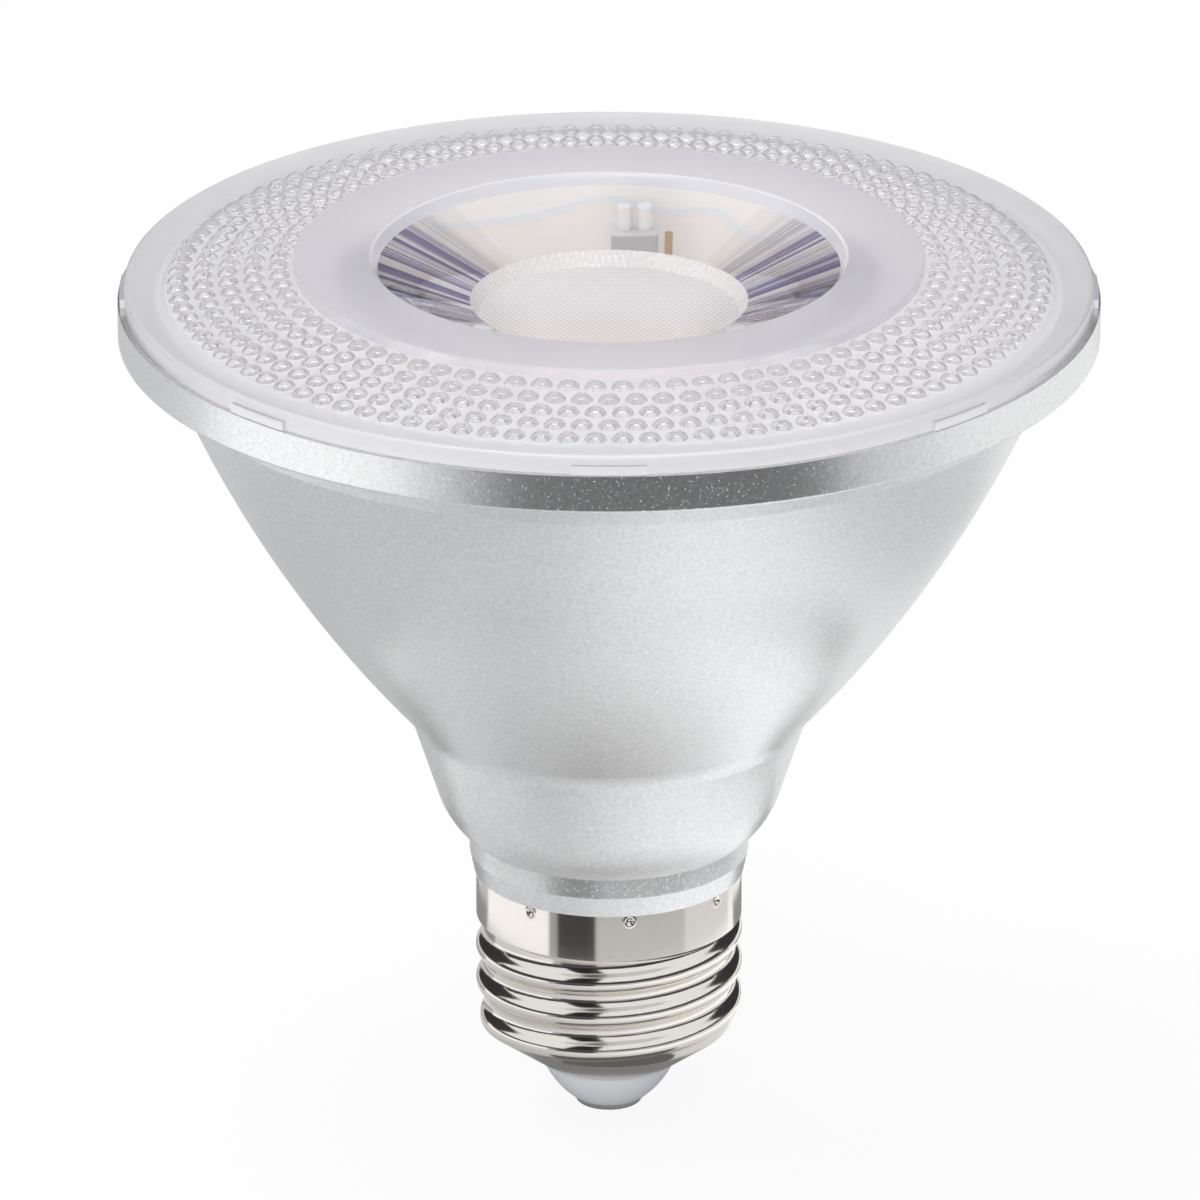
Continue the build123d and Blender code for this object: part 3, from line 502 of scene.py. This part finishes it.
around = np.linspace(0, 2 * np.pi, 240, endpoint=False)
ear_step = 2 * np.pi / ear_count
ear_half = np.arcsin(ear_half_width / ear_root_radius)
on_ear, off_ear = np.linspace(-ear_half, ear_half, 9), np.linspace(ear_half, ear_step - ear_half, 31)
on_ear[0], on_ear[-1] = -ear_half + ear_side_gap, ear_half - ear_side_gap
ear_sector = np.concatenate([on_ear, off_ear])
rim_around = (np.arange(ear_count)[:, None] * ear_step + ear_sector).reshape(-1)
ear = np.tile(np.arange(len(ear_sector)) < len(on_ear), ear_count)

disc = [(radius, disc_height) for radius in (0, 4, 8, 11, disc_radius)]
dish = [(dish_foot_radius, dish_foot)] + dish_steps + [(lip_radius, lip_foot)]
dish_corner, plateau_corner = (dish_radius, plateau_height), (plateau_radius, plateau_height)
mouth = rounded((lip_radius, lip_foot), dish_corner, plateau_corner, dish_rounding)
edge = rounded(dish_corner, plateau_corner, (plateau_radius, plateau_foot), plateau_rounding, 4)
rim_corner = rounded(
    (domes_radius, domes_foot), (rim_radius, rim_top), (rim_radius, rim_foot), rim_rounding
)
flange = [(domes_radius, domes_foot), flange_step] + rim_corner + [(rim_radius, ear_top)]
rim = [
    (rim_radius, ear_top),
    (rim_radius, ear_foot),
    (rim_radius, ear_foot),
    (rim_radius, rim_foot),
    (rim_inner_radius, rim_foot),
    (rim_inner_radius, plate_underside),
]
collimator = hollow_arc(
    (collimator_radius, domes_foot), (collimator_foot_radius, collimator_foot), collimator_bulge, 24
)
pocket = [(pocket_mouth_radius, collimator_foot), (pocket_radius, pocket_top), (0, pocket_crown)]

lens_skins = []
top = turned(disc + dish + mouth + edge + [(plateau_radius, plateau_foot)], around)
lens_skins.append((top.reshape(-1, 3), spun_triangles(*top.shape[:2])[:, ::-1]))
loop = top[-1]
for ring in reversed(range(ring_count)):
    ring_radius, ring_domes = first_ring_radius - ring_spacing * ring, first_ring_domes - ring_step * ring
    points, faces, inner, outer = dome_ring(ring_radius, ring_domes)
    lens_skins.append((np.concatenate([loop, inner]), zipped(loop, inner)))
    lens_skins.append((points, faces))
    loop = outer
outside = turned(flange + rim, rim_around)
ear_rows = slice(len(flange), len(flange) + 2)
outside[ear_rows, :, :2] *= np.where(ear, ear_radius / rim_radius, 1)[:, None]
lens_skins.append((np.concatenate([loop, outside[0]]), zipped(loop, outside[0])))
lens_skins.append((outside.reshape(-1, 3), spun_triangles(*outside.shape[:2])[:, ::-1]))
underside = [(rim_inner_radius, plate_underside), (plateau_radius, domes_foot)]
under = turned(underside + collimator + pocket, around)
lens_skins.append((np.concatenate([under[0], outside[-1]]), zipped(under[0], outside[-1])[:, ::-1]))
lens_skins.append((under.reshape(-1, 3), spun_triangles(*under.shape[:2])[:, ::-1]))
starts = np.cumsum([0] + [len(points) for points, _ in lens_skins[:-1]])
lens_points = np.concatenate([points for points, _ in lens_skins])
lens_faces = np.concatenate([faces + start for (_, faces), start in zip(lens_skins, starts)])


def lens_finish(name, transmission, roughness, color):
    """Polycarbonate that lets shadow and diffuse rays straight through, so that light gets in; the
    share that isn't transmission is the haze of the moulded grain."""
    made = bpy.data.materials.new(name)
    made.use_nodes = True
    tree = made.node_tree
    shader = tree.nodes["Principled BSDF"]
    for socket, value in (
        ("Base Color", (*color, 1)),
        ("Transmission Weight", transmission),
        ("Roughness", roughness),
        ("IOR", 1.585),
    ):
        shader.inputs[socket].default_value = value
    path = finish_step(tree, "LightPath", {}).outputs
    rays = {0: path["Is Shadow Ray"], 1: path["Is Diffuse Ray"]}
    either = finish_step(tree, "Math", rays, operation="MAXIMUM").outputs[0]
    passing = finish_step(tree, "BsdfTransparent", {"Color": (0.97, 0.97, 0.98, 1)}).outputs["BSDF"]
    both = finish_step(tree, "MixShader", {"Fac": either, 1: shader.outputs["BSDF"], 2: passing})
    tree.links.new(both.outputs["Shader"], tree.nodes["Material Output"].inputs["Surface"])
    return made


def honeycomb_group():
    """Shader group: height of a close packing of round bumps across the axis. Two lattices of
    cells one wide and root three long, half a cell apart both ways, give the nearest centre."""
    group = bpy.data.node_groups.new("honeycomb", "ShaderNodeTree")
    group.interface.new_socket("Pitch", in_out="INPUT", socket_type="NodeSocketFloat")
    group.interface.new_socket("Height", in_out="OUTPUT", socket_type="NodeSocketFloat")
    given = group.nodes.new("NodeGroupInput").outputs
    result = group.nodes.new("NodeGroupOutput").inputs

    def vector(operation, first, second):
        """Vector math on two sockets, or on a socket and a fixed vector."""
        return finish_step(group, "VectorMath", {0: first, 1: second}, operation=operation).outputs["Vector"]

    def number(operation, first, second):
        """Math on two sockets or numbers."""
        return finish_step(group, "Math", {0: first, 1: second}, operation=operation).outputs[0]

    place = finish_step(group, "TexCoord", {}).outputs["Object"]
    flat = vector("DIVIDE", vector("MULTIPLY", place, (1, 1, 0)), given["Pitch"])
    squeezed = vector("MULTIPLY", flat, (1, 3**-0.5, 0))
    away = []
    for shift in (100, 100.5):
        moved = vector("ADD", squeezed, (shift, shift, 0.5))
        cell = finish_step(group, "VectorMath", {0: moved}, operation="FRACTION").outputs["Vector"]
        offset = vector("MULTIPLY", vector("SUBTRACT", cell, (0.5, 0.5, 0.5)), (1, 3**0.5, 0))
        away.append(finish_step(group, "VectorMath", {0: offset}, operation="LENGTH").outputs["Value"])
    nearest = number("MINIMUM", *away)
    group.links.new(number("SUBTRACT", 0.34, number("MULTIPLY", nearest, nearest)), result["Height"])
    return group


def color_ramp(tree, factor, stops):
    """Colour that runs through the stops, which are pairs of a place from 0 to 1 and a colour."""
    ramp = finish_step(tree, "ValToRGB", {"Fac": factor})
    elements = ramp.color_ramp.elements
    for place, color in stops:
        elements.new(place).color = (*color, 1)
    elements.remove(elements[0])
    elements.remove(elements[-1])
    return ramp.outputs["Color"]


clear = lens_finish("clear_lens", 1.0, 0.02, (0.975, 0.97, 0.99))
hazy = lens_finish("hazy_lens", 0.85, 0.03, (0.98, 0.975, 0.985))
milky = lens_finish("milky_lens", 0.45, 0.3, (0.82, 0.815, 0.82))
# The pale finish on the plateau's riser and the dish's lip is a painted highlight: a white line along these
# edges.
painted_highlight_lip = lens_finish("painted_highlight_lip", 0.6, 0.15, (0.9, 0.895, 0.95))
dome_ground = lens_finish("dome_ground", 0.42, 0.2, (0.83, 0.825, 0.84))
frosted = lens_finish("frosted_lens", 0.45, 0.5, (0.73, 0.715, 0.755))
# The dark finish on the ears' top faces is painted shade: the shadowed gap above each ear.
ear_shadow_line = lens_finish("ear_shadow_line", 0.3, 0.3, (0.46, 0.46, 0.49))

# The dish's wall has painted reflections: the dark of the housing at its sides is painted as violet
# streaks that run down to the disc, and split light as a faint wavy fringe under its lip.
dish_wall = lens_finish("dish_wall", 1.0, 0.03, (0.975, 0.96, 0.96))
fringe_foot, fringe_top, fringe_wave = 0.0853, 0.0887, 0.0016
tree = dish_wall.node_tree
place = finish_step(tree, "TexCoord", {}).outputs["Object"]
spot = finish_step(tree, "SeparateXYZ", {0: place}).outputs
bearing = finish_step(tree, "Math", {0: spot["Y"], 1: spot["X"]}, operation="ARCTAN2").outputs[0]
painted_streak_noise = finish_step(
    tree,
    "TexNoise",
    {"W": bearing, "Scale": 11, "Detail": 4, "Roughness": 0.7},
    noise_dimensions="1D",
).outputs["Fac"]
# Painted reflection: the streaks are strongest at the two sides, by bearing round the axis, where the
# housing's dark is mirrored.
sideways = finish_step(tree, "Math", {0: bearing}, operation="COSINE").outputs[0]
squared = finish_step(tree, "Math", {0: sideways, 1: 2}, operation="POWER").outputs[0]
side = finish_step(
    tree,
    "MapRange",
    {"Value": squared, "From Min": 0.5, "From Max": 0.8},
    interpolation_type="SMOOTHSTEP",
).outputs["Result"]
crisp = finish_step(
    tree, "MapRange", {"Value": painted_streak_noise, "From Min": 0.42, "From Max": 0.56, "To Min": 0.4}
).outputs["Result"]
amount = finish_step(tree, "Math", {0: side, 1: crisp}, operation="MULTIPLY").outputs[0]
# Painted fringe: a wavy band of colours under the lip that stands for the light split by the wall.
wander = finish_step(
    tree, "TexNoise", {"W": bearing, "Scale": 2.2, "Detail": 0}, noise_dimensions="1D"
).outputs["Fac"]
waved = finish_step(
    tree, "Math", {0: wander, 1: fringe_wave, 2: spot["Z"]}, operation="MULTIPLY_ADD"
).outputs[0]
level = finish_step(
    tree, "MapRange", {"Value": waved, "From Min": fringe_foot, "From Max": fringe_top}
).outputs["Result"]
fringe = color_ramp(
    tree,
    level,
    (
        (0.4, (0.95, 0.93, 0.915)),
        (0.55, (0.96, 0.9, 0.83)),
        (0.68, (0.8, 0.88, 0.97)),
        (0.76, (1, 1, 1)),
    ),
)
painted_streak_mix = {"Factor": amount, "A": fringe, "B": (0.06, 0.053, 0.16, 1)}
tint = finish_step(tree, "Mix", painted_streak_mix, data_type="RGBA").outputs["Result"]
tree.links.new(tint, tree.nodes["Principled BSDF"].inputs["Base Color"])

# The disc has a honeycomb of fine bumps that is moulded with it, and a painted peach reflection of
# the light source below it on its front.
rippled = lens_finish("rippled_lens", 0.5, 0.2, (0.8, 0.775, 0.76))
disc_middle, disc_front = 0.0, -0.012
tree = rippled.node_tree
place = finish_step(tree, "TexCoord", {}).outputs["Object"]
depth = finish_step(tree, "SeparateXYZ", {0: place}).outputs["Y"]
# Painted reflection: peach towards the disc's front, where the phosphor's yellow shows.
before = finish_step(
    tree, "MapRange", {"Value": depth, "From Min": disc_middle, "From Max": disc_front}
).outputs["Result"]
painted_peach_mix = {"Factor": before, "A": (0.8, 0.78, 0.775, 1), "B": (0.99, 0.87, 0.81, 1)}
painted_phosphor_reflection = finish_step(tree, "Mix", painted_peach_mix, data_type="RGBA").outputs["Result"]
comb = finish_step(tree, "Group", {"Pitch": 0.00062}, node_tree=honeycomb_group()).outputs["Height"]
bumps = finish_step(tree, "Bump", {"Height": comb, "Strength": 1, "Distance": 0.00026}).outputs["Normal"]
tree.links.new(painted_phosphor_reflection, tree.nodes["Principled BSDF"].inputs["Base Color"])
tree.links.new(bumps, tree.nodes["Principled BSDF"].inputs["Normal"])

lens_finishes = [clear, hazy, frosted, rippled, dish_wall, milky, painted_highlight_lip, dome_ground, ear_shadow_line]
lens = lamp_mesh("lens", lens_points, lens_faces, lens_finishes, sharp=30)
centre = np.zeros(len(lens.data.polygons) * 3, np.float32)
lens.data.polygons.foreach_get("center", centre)
facing = np.zeros(len(lens.data.polygons) * 3, np.float32)
lens.data.polygons.foreach_get("normal", facing)
centre, up = centre.reshape(-1, 3) * 1000, facing.reshape(-1, 3)[:, 2]
radius, height = np.hypot(centre[:, 0], centre[:, 1]), centre[:, 2]
over_cone = height - domes_foot - (domes_radius - radius) * domes_slope
zone = np.zeros(len(radius), np.int32)
# A finish goes to the faces whose middles lie between these radii and heights, in millimetres,
# and a later one in the list covers an earlier one.
for made, where in (
    (hazy, (radius > 30.5) & (up > 0.05) & (height > 85.2)),
    (hazy, (radius > 45.4) & (height > 84.4)),
    (frosted, (radius > 22.95) & (radius < 30.6) & (height > plateau_foot)),
    (painted_highlight_lip, (radius > 30.5) & (radius < 30.6) & (up < 0.5) & (height > 87.9)),
    (rippled, (radius < disc_radius) & (height > 83.0)),
    (dish_wall, (radius > dish_foot_radius) & (radius < lip_radius) & (up > 0.5) & (height > 84.4)),
    (painted_highlight_lip, (radius > 22.3) & (radius < 23.2) & (height > 87.8)),
    (rippled, (radius > 12.5) & (radius < 13.6) & (height > 83.0)),
    (dome_ground, (radius > 30.6) & (radius < domes_radius) & (np.abs(over_cone) < 0.04)),
    (milky, (radius > domes_radius) & (up > 0.5) & (height > 86.0)),
    (milky, (radius > 46.3) & (height > 84.7)),
    (ear_shadow_line, (radius > 47.0) & (up > 0.9) & (height > 85.0)),
):
    zone[where] = lens_finishes.index(made)
lens.data.polygons.foreach_set("material_index", zone)
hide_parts("front_lens")


# Stage: a white paper floor, cards of one tone round the lamp that only gloss mirrors, a white
# sky and two soft lights. The floor as gloss mirrors it has painted tones across and out from the
# lamp, with a painted shadow under the lamp.
def stage_mesh(name, points, faces, made):
    """Mesh in metres that isn't part of the lamp."""
    mesh = bpy.data.meshes.new(name)
    mesh.from_pydata(points, [], faces)
    mesh.materials.append(made)
    plane = bpy.data.objects.new(name, mesh)
    bpy.context.scene.collection.objects.link(plane)
    return plane


def bare_material(name):
    """Material with nothing but its output yet, with its tree and the output's surface."""
    made = bpy.data.materials.new(name)
    made.use_nodes = True
    tree = made.node_tree
    tree.nodes.remove(tree.nodes["Principled BSDF"])
    return made, tree, tree.nodes["Material Output"].inputs["Surface"]


def grey_ramp(tree, factor, stops):
    """Grey that runs through the stops, which are pairs of a place from 0 to 1 and a tone."""
    return color_ramp(tree, factor, [(place, (tone, tone, tone)) for place, tone in stops])


floor_half, toned_half, toned_radius = 4.0, 0.1, 0.2
paper, tree, surface = bare_material("white_paper")
place = finish_step(tree, "TexCoord", {}).outputs["Object"]
across = finish_step(tree, "SeparateXYZ", {0: place}).outputs["X"]
span = finish_step(
    tree, "MapRange", {"Value": across, "From Min": -toned_half, "From Max": toned_half}
).outputs["Result"]
# Painted reflection tones across the floor: darker to the left of the lamp, brightest a little to its right.
painted_side_tones = grey_ramp(
    tree, span, ((0.25, 0.56), (0.4, 0.64), (0.5, 0.88), (0.64, 1.18), (0.78, 1.14), (0.88, 0.7))
)
from_axis = finish_step(tree, "VectorMath", {0: place}, operation="LENGTH").outputs["Value"]
spread = finish_step(tree, "MapRange", {"Value": from_axis, "From Max": toned_radius}).outputs["Result"]
# Painted shadow: darkest right under the lamp, then lighter and darker rings further out.
painted_shadow_rings = grey_ramp(
    tree,
    spread,
    (
        (0.045, 0.15),
        (0.07, 0.74),
        (0.1, 0.74),
        (0.17, 1.1),
        (0.25, 1.12),
        (0.35, 0.82),
        (0.48, 0.8),
        (0.62, 1.0),
    ),
)
painted_reflection_tone = finish_step(tree, "VectorMath", {0: painted_side_tones, 1: painted_shadow_rings}, operation="MULTIPLY").outputs["Vector"]
glow = finish_step(tree, "Emission", {"Color": (1, 1, 1, 1)}).outputs["Emission"]
painted_floor_reflection = finish_step(tree, "Emission", {"Color": painted_reflection_tone, "Strength": 1.05}).outputs["Emission"]
last = finish_step(tree, "BsdfDiffuse", {"Color": (0.92, 0.92, 0.92, 1)}).outputs["BSDF"]
path = finish_step(tree, "LightPath", {}).outputs
for ray, share, light in (("Is Camera Ray", 0.88, glow), ("Is Glossy Ray", 0.8, painted_floor_reflection)):
    part = finish_step(tree, "Math", {0: path[ray], 1: share}, operation="MULTIPLY").outputs[0]
    last = finish_step(tree, "MixShader", {"Fac": part, 1: last, 2: light}).outputs["Shader"]
below = finish_step(tree, "NewGeometry", {}).outputs["Backfacing"]
unseen = finish_step(tree, "BsdfTransparent", {}).outputs["BSDF"]
tree.links.new(finish_step(tree, "MixShader", {"Fac": below, 1: last, 2: unseen}).outputs["Shader"], surface)
corners = np.array([(-1, -1, 0), (1, -1, 0), (1, 1, 0), (-1, 1, 0)]) * floor_half
stage_mesh("floor", corners, [(0, 1, 2, 3)], paper)


def card(name, tone, radii, heights, angles, near=10.0):
    """Card of one tone that only gloss mirrors, bent round the axis: upright where its two radii are
    equal and flat where its two heights are. Angles run from the front to the right, in degrees.
    Rays longer than near pass through it."""
    made, tree, surface = bare_material(name)
    plain = finish_step(tree, "Emission", {"Color": (tone, tone, tone, 1)}).outputs["Emission"]
    run = finish_step(tree, "LightPath", {}).outputs["Ray Length"]
    beyond = finish_step(tree, "Math", {0: run, 1: near}, operation="GREATER_THAN").outputs[0]
    unseen = finish_step(tree, "BsdfTransparent", {}).outputs["BSDF"]
    shown = finish_step(tree, "MixShader", {"Fac": beyond, 1: plain, 2: unseen})
    tree.links.new(shown.outputs["Shader"], surface)
    columns = 25
    turn = np.radians(np.linspace(*angles, columns))
    radius, height = np.array([radii, heights])[:, :, None]
    points = np.stack([radius * np.sin(turn), -radius * np.cos(turn), height + 0 * turn], -1)
    here = np.arange(columns - 1)
    faces = np.stack([here, here + 1, here + 1 + columns, here + columns], -1)
    plane = stage_mesh(name, points.reshape(-1, 3), faces, made)
    plane.visible_camera = plane.visible_diffuse = plane.visible_shadow = plane.visible_transmission = False


on_floor, overhead = (0.001, 0.001), (0.6, 0.6)
card("far_card", 0.012, (0.135, 1.2), on_floor, (-27, 50))
card("left_floor_card", 1.3, (0.12, 1.2), on_floor, (-98, -42))
card("right_floor_card", 1.05, (0.12, 1.2), on_floor, (75, 150))
card("back_floor_card", 0.3, (0.042, 0.058), on_floor, (125, 240))
# A dark card under the lamp that only gloss mirrors: painted shadow of the lamp on the floor beneath it.
card("under_shadow_card", 0.14, (0.009, 0.018), on_floor, (-40, 50), near=0.02)
close_by, shell_high = (0.045, 0.045), (0.005, 0.013)
# A dark band that only gloss mirrors: painted shade for the collar ring under the neck's overhang.
card("ring_shade_card", 0.1, close_by, (0.013, 0.020), (-95, 105))
card("left_card", 1.15, close_by, shell_high, (-115, -46))
card("soft_card", 0.4, close_by, shell_high, (-46, -39))
card("stripe_card", 0.06, close_by, shell_high, (-39, -10))
card("right_card", 0.6, close_by, shell_high, (-10, 60))
card("side_card", 0.8, close_by, shell_high, (60, 112))
all_round, room_high = (0.4, 0.4), (0.002, 0.5)
card("tall_card", 0.02, all_round, (0.12, 0.6), (-40, -11))
card("horizon_card", 0.03, (0.41, 0.41), (0.02, 0.13), (-105, 105))
card("left_back_card", 0.04, all_round, room_high, (-174, -108))
card("right_back_card", 0.04, all_round, room_high, (108, 174))
card("front_sky_card", 0.95, (0.42, 0.42), (0.13, 0.7), (-105, 105))
card("back_card", 0.25, all_round, (0.1, 0.3), (174, 186))
card("crescent_card", 5.5, (0.17, 0.29), overhead, (-55, 55))

world = bpy.data.worlds.new("studio")
world.use_nodes = True
bpy.context.scene.world = world
tree = world.node_tree
sky = tree.nodes["Background"]
sky.inputs["Color"].default_value = (0.86, 0.87, 0.9, 1)
sky.inputs["Strength"].default_value = 0.75
white = finish_step(tree, "Background", {"Color": (1, 1, 1, 1)}).outputs["Background"]
seen = finish_step(tree, "LightPath", {}).outputs["Is Camera Ray"]
both = finish_step(tree, "MixShader", {"Fac": seen, 1: sky.outputs["Background"], 2: white})
tree.links.new(both.outputs["Shader"], tree.nodes["World Output"].inputs["Surface"])

lit_middle = Vector((0, 0, 0.05))
for name, place, size, power in (
    ("top_light", (-0.25, 0.15, 0.9), 0.8, 4.2),
    ("front_light", (-0.1, -1.0, 0.38), 0.6, 4.6),
):
    soft_light = bpy.data.lights.new(name, "AREA")
    soft_light.size, soft_light.energy = size, power
    hung = bpy.data.objects.new(name, soft_light)
    hung.location = place
    hung.rotation_mode = "QUATERNION"
    hung.rotation_quaternion = (lit_middle - hung.location).to_track_quat("-Z", "Y")
    hung.visible_transmission = hung.visible_glossy = False
    bpy.context.scene.collection.objects.link(hung)

eye_distance, eye_rise, turning_height = 1.5, np.radians(22.33), 0.045
picture_middle = Vector((-0.00088, 0, 0.05306))
camera = bpy.data.cameras.new("camera")
camera.sensor_width, camera.lens = 36, 460.05
camera.clip_start, camera.clip_end = 0.1, 20
eye = bpy.data.objects.new("camera", camera)
eye.location = (0, -eye_distance * np.cos(eye_rise), turning_height + eye_distance * np.sin(eye_rise))
eye.rotation_mode = "QUATERNION"
eye.rotation_quaternion = (picture_middle - eye.location).to_track_quat("-Z", "Y")
bpy.context.scene.collection.objects.link(eye)
bpy.context.scene.camera = eye
bpy.context.scene.view_settings.view_transform = "Standard"
